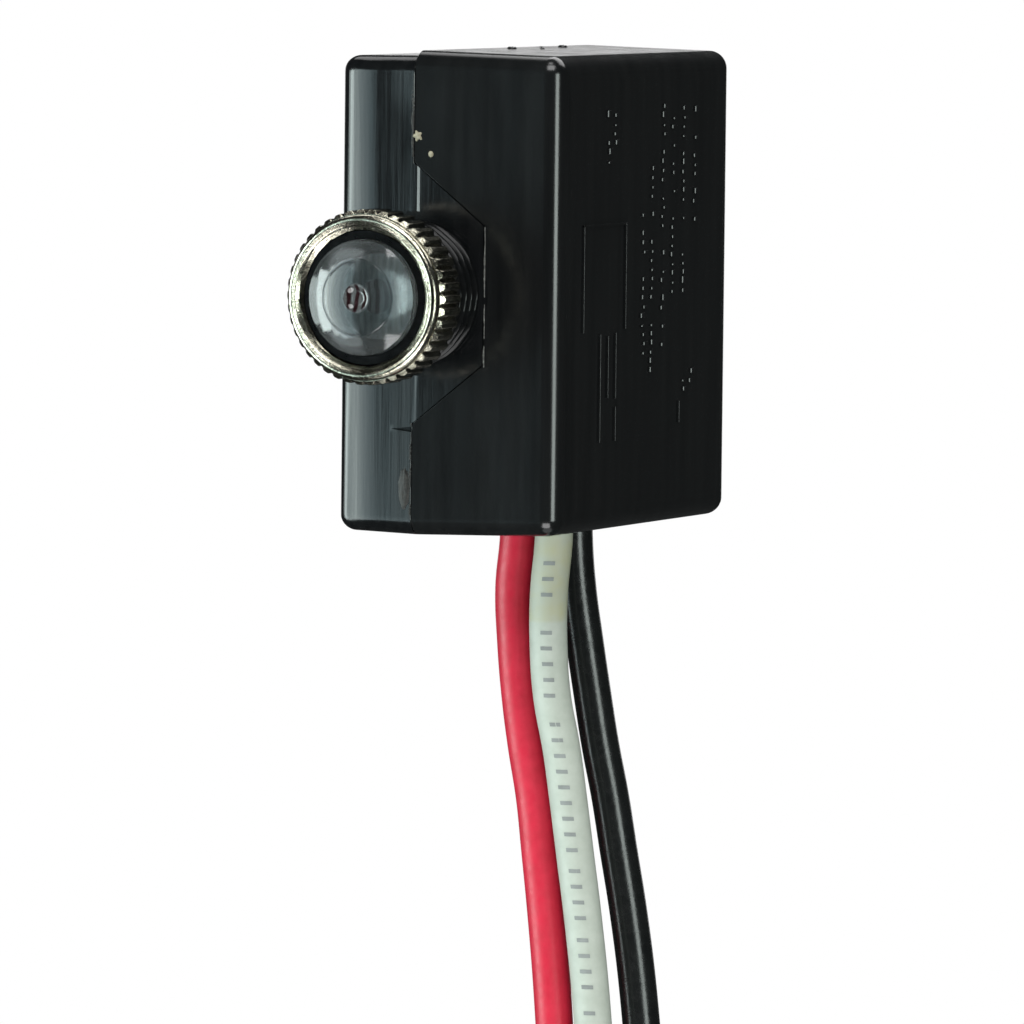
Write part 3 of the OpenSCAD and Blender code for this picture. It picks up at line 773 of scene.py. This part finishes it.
def hollow(name, width, top, side):
    """The drafted hollow of one half."""
    depth = width - WALL
    inset = math.tan(DRAFT) * depth
    rings = []
    for x, shrink in ((-OVER, 0), (0, 0), (depth, inset)):
        y0, y1 = WALL + shrink, BODY_D - WALL - shrink
        z0, z1 = -BODY_H / 2 + WALL + shrink, top - WALL - shrink
        corners = [(y1, z1), (y0, z1), (y0, z0), (y1, z0)]
        rings.append([(side * x, y, z) for y, z in corners])
    return loft(name, rings)


def rod(name, r, start, end, segments=48):
    """A round rod between two points."""
    start, end = Vector(start), Vector(end)
    turn = (end - start).to_track_quat("Z", "Y").to_matrix().to_4x4()
    rings = []
    for z in (0, (end - start).length):
        ring = []
        for i in range(segments):
            a = 2 * math.pi * i / segments
            ring.append((r * math.cos(a), r * math.sin(a), z))
        rings.append(ring)
    obj = loft(name, rings)
    obj.data.transform(Matrix.Translation(start) @ turn)
    return obj


def lathe(name, profile, segments, shape=None, closed=True):
    """A profile of (r, y) points turned about the stem's axis; shape(r, y, angle) may change r."""
    rings = []
    for r, y in profile:
        ring = []
        for i in range(segments):
            a = 2 * math.pi * i / segments
            radius = shape(r, y, a) if shape else r
            ring.append((radius * math.cos(a), y, radius * math.sin(a)))
        rings.append(ring)
    return loft(name, rings, close_ends=False, close_loop=closed)


def pebble(name, centre, sizes, lobes=0, lobe_depth=0.0, roughness=0.0):
    """A low lump with half axes sizes; lobes cut its outline in X and Z into a star."""
    bm = bmesh.new()
    bmesh.ops.create_uvsphere(bm, u_segments=40, v_segments=20, radius=1.0)
    for vert in bm.verts:
        p = vert.co
        a = math.atan2(p.z, p.x)
        star = 1 - lobe_depth * 0.5 * (1 + math.cos(lobes * a))
        lump = 1 + roughness * noise.noise(p * LUMP_NOISE)
        vert.co = Vector((p.x * sizes[0] * star, p.y * sizes[1], p.z * sizes[2] * star)) * lump
    bm.transform(Matrix.Translation(Vector(centre)))
    return to_object(name, bm)


def join(first, *others):
    """Several mesh objects as one."""
    bm = bmesh.new()
    for obj in (first, *others):
        bm.from_mesh(obj.data)
    bm.to_mesh(first.data)
    bm.free()
    for obj in others:
        bpy.data.objects.remove(obj)
    return first


def rise(low, high, x):
    """0 below low, 1 above high, straight between."""
    return min(1.0, max(0.0, (x - low) / (high - low)))


def ease(low, high, x):
    """0 below low, 1 above high, smooth between."""
    t = rise(low, high, x)
    return t * t * (3 - 2 * t)


# Housing


def side_panel():
    """The low raised panel on the closed side of the main shell, with sloping edges."""
    low = PANEL_MARGIN + EDGE_R
    bottom, top = low - BODY_H / 2, BODY_H / 2 - low
    rings = []
    for x, grow in ((CASE_W - OVER, PANEL_SLOPE), (CASE_W, PANEL_SLOPE), (CASE_W + PANEL_PROUD, 0)):
        outline = round_corners(low, BODY_D - low, bottom, top, EDGE_R + grow, steps=8, runs=1)
        rings.append([(x, y, z) for y, z, _ in outline])
    return loft("side_panel", rings)


def make_case():
    """The main shell: a deep tray with a notch, a side panel, rails for the board and three lead holes."""
    case = half_block("case_shell_look", CASE_W, BODY_H / 2, side=1)
    combine(case, hollow("case_hollow", CASE_W, BODY_H / 2, side=1), "DIFFERENCE")
    combine(case, side_panel(), "UNION")
    for z in (BOARD_UNDER - RAIL_H, BOARD_TOP + SLOT_GAP):
        for y0, y1 in ((WALL / 2, BOARD_Y0 + RAIL_HOLD), (BOARD_Y1 - RAIL_HOLD, BODY_D - WALL / 2)):
            rail = slab("rail", (LIP_H + BOARD_GAP, y0, z), (CASE_W - WALL / 2, y1, z + RAIL_H))
            combine(case, rail, "UNION")
    slant = (TONGUE_ROOT_H - TONGUE_TIP_H) / 2
    slope = math.hypot(TONGUE_REACH, slant) / TONGUE_REACH
    reach = TONGUE_REACH + NOTCH_GAP
    root_h = TONGUE_ROOT_H + 2 * NOTCH_GAP * slope
    tip_h = root_h - 2 * slant * reach / TONGUE_REACH
    notch = [
        (-OVER, -root_h / 2), (0, -root_h / 2), (reach, -tip_h / 2),
        (reach, tip_h / 2), (0, root_h / 2), (-OVER, root_h / 2),
    ]
    combine(case, prism("notch", notch, -OVER, WALL + OVER), "DIFFERENCE")
    for route in ROUTES.values():
        x, y, _ = (c * MM for c in route[0])
        start = (x, y, -BODY_H / 2 - OVER)
        end = (x, y, -BODY_H / 2 + WALL + OVER)
        combine(case, rod("hole", LEAD_D / 2 + LEAD_CLEARANCE, start, end), "DIFFERENCE")
    soften(case, EDGE_SOFT)
    adopt(smooth(case), HOUSING, "shell_plastic", ["case_shell"])


def outer_fall(x):
    """How far the cover's front has fallen at x: its slope grows outwards and ends before the corner."""
    grow = OUTER_START - OUTER_FULL
    fade = OUTER_FULL - OUTER_END
    a = min(grow, max(0.0, OUTER_START - x))
    b = min(fade, max(0.0, OUTER_FULL - x))
    return OUTER_FALL * (a * a / (2 * grow) + b - b * b / (2 * fade))


def cover_sink(x, z):
    """How far the cover's front lies behind its drafted plane: an easy outer edge, and the warp."""
    flat = ease(-COVER_W, -COVER_W + EDGE_R, x)
    wave = -WAVE_HEIGHT * math.sin(2 * math.pi * x / WAVE_LENGTH) * ease(*WAVE_Z, z)
    ripple = RIPPLE_HEIGHT * noise.noise(Vector((x * RIPPLES_PER_X, 0, z * RIPPLES_PER_Z)))
    curl = CURL_SLOPE * max(0.0, x - CURL_FROM_X) * ease(*CURL_Z, z)
    warp = FACE_TWIST * x * z + wave + ripple - curl
    return outer_fall(x) + flat * (FACE_STEP + warp)


def tongue():
    """The tongue: its root goes on from the cover's front, and its plate begins with a low step."""
    half_root, half_tip = TONGUE_ROOT_H / 2, TONGUE_TIP_H / 2
    stations = [
        (-TONGUE_BURIED, True), (TONGUE_STEP_X, True), (TONGUE_PLATE_X, False), (TONGUE_REACH, False),
    ]
    rings = []
    for x, at_root in stations:
        half = half_root - (half_root - half_tip) * max(0.0, x) / TONGUE_REACH
        ring = []
        for z in (-half, half):
            y = FACE_STEP + FACE_TWIST * x * z - math.tan(DRAFT) * x if at_root else 0.0
            ring.append((x, y, z))
        ring += [(x, WALL, half), (x, WALL, -half)]
        rings.append(ring)
    return loft("tongue", rings)


def cover_lip(top):
    """The lip that locates the cover inside the main shell."""
    outer, inner = WALL + LIP_GAP, WALL + LIP_GAP + LIP_T
    loops = []
    for reach, x in ((outer, -OVER), (outer, LIP_H), (inner, LIP_H), (inner, -OVER)):
        y0, y1, z0, z1 = reach, BODY_D - reach, reach - BODY_H / 2, top - reach
        loops.append([(x, y, z) for y, z in ((y0, z0), (y1, z0), (y1, z1), (y0, z1))])
    return loft("cover_lip", loops, close_loop=True)


def stem_profile():
    """The stem's section: thread outside, stepped bores inside, as (r, y)."""
    steps_per_turn = 12
    count = round((STEM_LEN + OVER) / THREAD_PITCH * steps_per_turn)
    outside = [(STEM_R, y) for y in spread(OVER, -STEM_LEN, count)]
    mouth = 0.04 * MM
    inside = [
        (LENS_BORE_R + mouth, -STEM_LEN), (LENS_BORE_R, -STEM_LEN + mouth),
        (LENS_BORE_R, LENS_BACK_Y), (CELL_BORE_R, LENS_BACK_Y), (CELL_BORE_R, CELL_BACK_Y),
        (LEG_BORE_R, CELL_BACK_Y), (LEG_BORE_R, OVER),
    ]
    return outside + inside


def thread_height(y, angle):
    """Height of the right-hand thread above its root, from 0 to 1."""
    phase = (y / THREAD_PITCH - angle / (2 * math.pi) - THREAD_START) % 1.0
    return ease(*THREAD_FLANK, abs(phase - 0.5) * 2)


def stem_radius(r, y, angle):
    """Cuts the thread into the stem's outside; the tip is chamfered."""
    if r < STEM_R:
        return r
    threaded = STEM_R - THREAD_CUT * (1 - thread_height(y, angle))
    chamfer = STEM_R - max(0.0, TIP_CHAMFER - (y + STEM_LEN))
    return min(threaded, chamfer)


def make_cover():
    """The cover: its tray, the tongue with its seat, the lip and the threaded stem, moulded in one."""
    top = BODY_H / 2 - COVER_DROP
    cover = half_block(
        "cover_shell_look", COVER_W, top, side=-1,
        sink=cover_sink, top_draft=COVER_TOP_DRAFT, seam=COVER_SEAM_BREAK,
    )
    combine(cover, hollow("cover_hollow", COVER_W, top, side=-1), "DIFFERENCE")
    combine(cover, tongue(), "UNION")
    combine(cover, rod("seat", SEAT_R, (0, 0, 0), (0, WALL, 0), segments=96), "UNION")
    combine(cover, cover_lip(top), "UNION")
    bore_end = WALL + LIP_GAP + LIP_T + OVER
    combine(cover, rod("leg_bore", LEG_BORE_R, (0, -OVER, 0), (0, bore_end, 0)), "DIFFERENCE")
    nick = [
        (NICK_TIP_X, NICK_Z), (NICK_MOUTH_X, NICK_Z - NICK_HALF_W), (NICK_MOUTH_X, NICK_Z + NICK_HALF_W),
    ]
    combine(cover, prism("nick", nick, -OVER, NICK_DEPTH), "DIFFERENCE")
    soften(cover, EDGE_SOFT)
    adopt(smooth(cover, angle=12), HOUSING, "shell_plastic", ["cover_shell"], "drawn_plastic")
    stem = lathe("stem_look", stem_profile(), segments=160, shape=stem_radius)
    adopt(smooth(stem, angle=40), HOUSING, "shell_plastic", finish="thread_plastic")


def crumbs(x, y, low, high, step, width, seed):
    """A broken line of torn crumbs along Z at x and y."""
    pieces = []
    for i in range(round((high - low) / step)):
        z = low + step * i
        size = (1 + noise.noise(Vector((*seed, z * CRUMB_NOISE)))) / 2
        if size > CRUMB_LEAST:
            place = (x - width * size, y, z)
            sizes = (width * size, CRUMB_T, CRUMB_LEN * size)
            pieces.append(pebble("crumb", place, sizes, roughness=0.5))
    return pieces


def make_seam_marks():
    """Torn flash along the seam and a melted spot on it."""
    flash = []
    for low, high in FLASH_RANGES:
        flash += crumbs(0.0, FACE_STEP, low, high, FLASH_STEP, FLASH_W, FLASH_SEED)
    marks = pebble("seam_marks", SPOT_CENTRE, SPOT_SIZES, roughness=0.25)
    adopt(smooth(join(marks, *flash), angle=60), HOUSING, "shell_plastic", finish="scuffed_plastic")


def make_painted_edge_glint():
    """Pale crumbs along the tongue's tip edge, whose colour paints its broken highlight."""
    half = TONGUE_TIP_H / 2
    edge = join(*crumbs(GLINT_X, 0.0, -half, half, GLINT_STEP, GLINT_W, GLINT_SEED))
    edge.name = "painted_edge_glint"
    adopt(smooth(edge, angle=60), HOUSING, "shell_plastic", finish="painted_glint_plastic")


def make_nubs():
    """Small mould nubs on the top of the main shell."""
    pieces = []
    for x, y, size in NUBS:
        top = BODY_H / 2 - math.tan(DRAFT) * x * MM
        sizes = (NUB_R * size, NUB_R * size, NUB_H * size)
        pieces.append(pebble("nub", (x * MM, y * MM, top), sizes, roughness=0.3))
    nubs = join(*pieces)
    nubs.name = "mould_nubs"
    adopt(smooth(nubs, angle=60), HOUSING, "shell_plastic")


def make_specks():
    """Two specks of dried dirt on the front of the main shell."""
    star = pebble("dirt_specks", STAR_CENTRE, STAR_SIZES, STAR_LOBES, STAR_LOBE_DEPTH, roughness=0.2)
    dot = pebble("dot", DOT_CENTRE, DOT_SIZES, roughness=0.2)
    adopt(smooth(join(star, dot), angle=60), HOUSING, "shell_plastic", finish="dried_dirt")


def side_bar(y0, y1, z0, z1):
    """A raised mark on the side panel, from y0 to y1 and z0 to z1 in millimetres."""
    face = CASE_W + PANEL_PROUD
    return slab("bar", (face - MARK_BURIED, y0 * MM, z0 * MM), (face + MARK_PROUD, y1 * MM, z1 * MM))


def vary(y, z, pattern):
    """A noise pattern's value at a place on the side panel, from -1 to 1."""
    across, offset, up = pattern
    return noise.noise(Vector((y * across, offset, z * up)))


def make_moulded_marks():
    """Plain raised marks on the side panel: a frame, ribs and rows of blocks."""
    z0, z1 = FRAME_Z
    ribs = [side_bar(y, y + RIB_W, z0, z1) for y in FRAME_Y]
    ribs.append(side_bar(*FRAME_Y, z1 - RIB_W, z1))
    for y, low, high in RIBS:
        ribs.append(side_bar(y, y + RIB_W, low, high))
    blocks = []
    for y, low, high in BLOCK_ROWS:
        for i in range(round((high - low) / BLOCK_PITCH)):
            z = low + BLOCK_PITCH * i
            wide = vary(y, z, WIDE_NOISE)
            tall = vary(y, z, TALL_NOISE)
            if wide + tall > BLOCK_LEFT_OUT:
                start = y + BLOCK_SHIFT * wide
                end = start + BLOCK_W + BLOCK_MORE_W * abs(wide)
                top = z + BLOCK_H + BLOCK_MORE_H * abs(tall)
                blocks.append(side_bar(start, end, z, top))
    ribs = soften(join(*ribs), RIB_ROUND, segments=1)
    blocks = soften(join(*blocks), BLOCK_ROUND, segments=1)
    marks = join(ribs, blocks)
    marks.name = "moulded_marks"
    adopt(smooth(marks), HOUSING, "shell_plastic")


# Eye


def thread_bore(y, angle):
    """The ring nut's bore, which runs in the stem's thread."""
    return STEM_R + RING_CLEARANCE - THREAD_CUT * (1 - thread_height(y, angle))


def ring_profile():
    """The ring nut's section from its back, over the outside, to the countersunk front, as (r, y)."""
    back = RING_LEN - RING_FRONT
    front = -RING_FRONT
    profile = [(RIM_R - BACK_ROUND, back), (RIM_R - BACK_ROUND / 4, back - BACK_ROUND / 4)]
    body_steps = 3
    profile += [(RING_R, y) for y in spread(back - BACK_ROUND, front + KNURL_FULL, body_steps)]
    bevel_steps = 6
    profile += [(RING_R, y) for y in spread(front + KNURL_FULL, front + KNURL_START, bevel_steps)[1:]]
    profile.append((COLLAR_R, front + KNURL_START))
    round_steps = 12
    land_r = COLLAR_R - COLLAR_ROUND
    for degrees in spread(0, 90, round_steps):
        a = math.radians(degrees)
        profile.append((land_r + COLLAR_ROUND * math.cos(a), front + COLLAR_ROUND * (1 - math.sin(a))))
    grooves = 9
    for i in range(1, grooves + 1):
        profile.append((land_r + (LAND_INNER_R - land_r) * i / grooves, front + GROOVE_DEPTH * (i % 2)))
    bore_steps = 44
    return profile + [(BORE_MARK, y) for y in spread(front, back, bore_steps)[1:]]


def ring_radius(r, y, angle):
    """Knurls the ring's outside, countersinks its front and threads its bore, out to the front."""
    depth = y + RING_FRONT
    if r == RING_R:
        wave = abs((angle / (2 * math.pi) * KNURL_TEETH) % 1.0 - 0.5) * 2
        tooth = KNURL_ROOT_R + (RING_R - KNURL_ROOT_R) * rise(*KNURL_FLANK, wave)
        return min(tooth, KNURL_ROOT_R + max(0.0, depth - KNURL_START))
    if r == BORE_MARK:
        return max(LAND_INNER_R - CONE_SLOPE * depth, thread_bore(y, angle))
    if r < COLLAR_R - COLLAR_ROUND:
        return max(r, thread_bore(y, angle) + RUN_OUT * (r - LAND_INNER_R))
    return r


def make_ring():
    """The knurled ring nut."""
    steps_per_tooth = 10
    ring = lathe("ring_nut_look", ring_profile(), KNURL_TEETH * steps_per_tooth, ring_radius)
    adopt(smooth(ring, angle=40), RING, "nickel_plate", ["ring_nut"])


def make_lens():
    """The clear eye: a plug domed at both ends, with a fine circle round its middle and a dimple."""
    dome_r = (LENS_R ** 2 + DOME_H ** 2) / (2 * DOME_H)
    apex = LENS_RIM_Y - DOME_H
    back_steps = 24
    profile = [(r, LENS_BACK_Y - r ** 2 / (2 * LENS_BACK_R)) for r in spread(0, LENS_R, back_steps)]
    profile.append((LENS_R, LENS_RIM_Y + LENS_EDGE))
    dome_steps = 86
    for r in spread(LENS_R, 0, dome_steps):
        y = apex + dome_r - math.sqrt(dome_r ** 2 - r ** 2)
        dimple = DIMPLE_DEPTH * (1 - ease(DIMPLE_FLOOR, 1.0, r / DIMPLE_R))
        circle = CIRCLE_DEPTH * (1 - rise(0, CIRCLE_HALF_W, abs(r - MIDDLE_R)))
        profile.append((r, y + dimple + circle))
    lens = lathe("lens_look", profile, segments=128, closed=False)
    adopt(smooth(lens, angle=40), HOUSING, "clear_lens", ["lens"])


# Leads


def round_curve(name, r, bevel_resolution):
    """An empty curve that will show as a round rod with closed ends."""
    data = bpy.data.curves.new(name, "CURVE")
    data.dimensions = "3D"
    data.bevel_depth = r
    data.bevel_resolution = bevel_resolution
    data.use_fill_caps = True
    return data


def make_lead(name, route, slot):
    """One insulated lead as a smooth curve."""
    data = round_curve(name, LEAD_D / 2, bevel_resolution=6)
    data.resolution_u = 8
    line = data.splines.new("BEZIER")
    line.bezier_points.add(len(route) - 1)
    for point, place in zip(line.bezier_points, route):
        point.co = Vector(place) * MM
        point.handle_left_type = "AUTO"
        point.handle_right_type = "AUTO"
    lead = bpy.data.objects.new(name, data)
    return adopt(lead, HOUSING, slot, [name.replace("_look", "")])


def make_strands(name, route, node):
    """The bare end: one straight strand with six twisted round it, three strands across."""
    strands_across = 3
    strand_r = CORE_D / 2 / strands_across
    end = Vector(route[-1]) * MM
    data = round_curve(name, strand_r, bevel_resolution=3)
    steps = 24
    turns = 1.5
    around = 6
    for k in range(around + 1):
        line = data.splines.new("POLY")
        line.points.add(steps)
        for i, point in enumerate(line.points):
            a = 2 * math.pi * (k / around + turns * i / steps)
            out = 0 if k == around else 2 * strand_r
            drop = STRIP_LEN * i / steps
            point.co = (end.x + out * math.cos(a), end.y + out * math.sin(a), end.z - drop, 1)
    strands = bpy.data.objects.new(name, data)
    return adopt(strands, HOUSING, "copper_wire", [node])


def on_route(route, z):
    """The point of a route at a height, in millimetres."""
    for a, b in zip(route, route[1:]):
        if a[2] >= z >= b[2]:
            t = (a[2] - z) / (a[2] - b[2])
            return Vector(a).lerp(Vector(b), t)
    return Vector(route[-1])


def make_ink(route):
    """Plain grey ticks printed along the white lead."""
    right, _, back = camera_axes()
    toward = Vector((back.x, back.y, 0)).normalized()
    across = Vector((right.x, right.y, 0)).normalized()
    bm = bmesh.new()
    r = LEAD_D / 2 + INK_PROUD
    for top, count in INK_GROUPS:
        for k in range(count):
            z0 = top - k * INK_PITCH
            rows = []
            for z in (z0, z0 - INK_BLOCK / 2, z0 - INK_BLOCK):
                centre = on_route(route, z) * MM
                row = []
                for angle in range(-INK_HALF_WIDTH, INK_HALF_WIDTH + 1, INK_STEP):
                    turn = math.radians(angle + INK_TURN)
                    out = toward * math.cos(turn) + across * math.sin(turn)
                    row.append(centre + r * out)
                rows.append(row)
            sheet(bm, rows)
    ink = to_object("ink_blocks", bm)
    return adopt(smooth(ink), HOUSING, "insulation_white", finish="grey_ink")


def make_leads():
    """The three leads, hanging from the underside."""
    for colour, route in ROUTES.items():
        lead = make_lead(f"lead_{colour}_look", route, f"insulation_{colour}")
        extras = [make_strands(f"strands_{colour}", route, f"stripped_end_{colour}")]
        if colour == "white":
            extras.append(make_ink(route))


def dress_inner_nodes():
    """Gives every CAD node that still shows its slot's finish."""
    slots = {part["node"]: part["material_slot"] for part in frame["record"]["subparts"]}
    for name, node in frame["nodes"].items():
        node.data.materials.clear()
        node.data.materials.append(materials[slots[name]])


# Studio


def softbox(name, azimuths, elevations, radiance, tint):
    """An area lamp that faces the object and fills a range of azimuths and elevations."""
    towards = direction(sum(azimuths) / 2, sum(elevations) / 2)
    data = bpy.data.lights.new(name, "AREA")
    data.shape = "RECTANGLE"
    data.size = 2 * LAMP_DISTANCE * math.tan(math.radians(azimuths[1] - azimuths[0]) / 2)
    data.size_y = 2 * LAMP_DISTANCE * math.tan(math.radians(elevations[1] - elevations[0]) / 2)
    data.energy = radiance * WATTS_PER_RADIANCE * data.size * data.size_y
    data.color = tint
    lamp = bpy.data.objects.new(name, data)
    turn = towards.to_track_quat("Z", "Y").to_matrix().to_4x4()
    lamp.matrix_world = Matrix.Translation(towards * LAMP_DISTANCE) @ turn
    bpy.context.scene.collection.objects.link(lamp)


def paint_grey(obj, greys, scale, roughness):
    """Gives a piece of the studio a mottled grey."""
    s = Shader(obj.name)
    s.colour(s.grain(scale), *greys)
    obj.data.materials.append(s.set(Roughness=roughness).material)


def studio_wall(name, azimuths, elevations):
    """A matte wall of the studio, part of a sphere, which the camera itself doesn't see."""
    bm = bmesh.new()
    steps = 36
    rows = []
    for elevation in spread(*elevations, steps):
        rows.append([direction(azimuth, elevation) * WALL_DISTANCE for azimuth in spread(*azimuths, steps)])
    sheet(bm, rows)
    wall = to_object(name, bm)
    paint_grey(wall, WALL_GREYS, scale=3, roughness=0.9)
    wall.visible_camera = False


def make_world():
    """White where the camera, a reflection or clear plastic shows it, and a dim grey light elsewhere."""
    world = bpy.data.worlds.new("studio")
    bpy.context.scene.world = world
    world.use_nodes = True
    tree = world.node_tree
    tree.nodes.clear()
    out = tree.nodes.new("ShaderNodeOutputWorld")
    mix = tree.nodes.new("ShaderNodeMixShader")
    path = tree.nodes.new("ShaderNodeLightPath")
    for socket, colour, strength in ((1, WORLD_GREY, WORLD_LIGHT), (2, WHITE, 1.0)):
        background = tree.nodes.new("ShaderNodeBackground")
        background.inputs["Color"].default_value = (*colour, 1)
        background.inputs["Strength"].default_value = strength
        tree.links.new(background.outputs["Background"], mix.inputs[socket])
    seen = path.outputs["Is Camera Ray"]
    for kind in ("Is Glossy Ray", "Is Transmission Ray"):
        either = tree.nodes.new("ShaderNodeMath")
        either.operation = "MAXIMUM"
        tree.links.new(seen, either.inputs[0])
        tree.links.new(path.outputs[kind], either.inputs[1])
        seen = either.outputs["Value"]
    tree.links.new(seen, mix.inputs["Fac"])
    tree.links.new(mix.outputs["Shader"], out.inputs["Surface"])


def make_floor():
    """A plain pale floor below the leads' ends."""
    bm = bmesh.new()
    bmesh.ops.create_circle(bm, cap_ends=True, segments=96, radius=FLOOR_R)
    floor = to_object("floor", bm)
    floor.location = FLOOR_CENTRE
    paint_grey(floor, FLOOR_GREYS, scale=20, roughness=0.7)


def make_lights():
    """All the lamps, and the dark walls round them."""
    for lamp in LAMPS:
        softbox(*lamp)
    for wall in WALLS:
        studio_wall(*wall)


make_camera()
materials = make_materials()
make_leads()
dress_inner_nodes()
make_case()
make_cover()
make_seam_marks()
make_painted_edge_glint()
make_nubs()
make_specks()
make_moulded_marks()
make_ring()
make_lens()
make_world()
make_floor()
make_lights()
bpy.context.scene.view_settings.view_transform = "Standard"
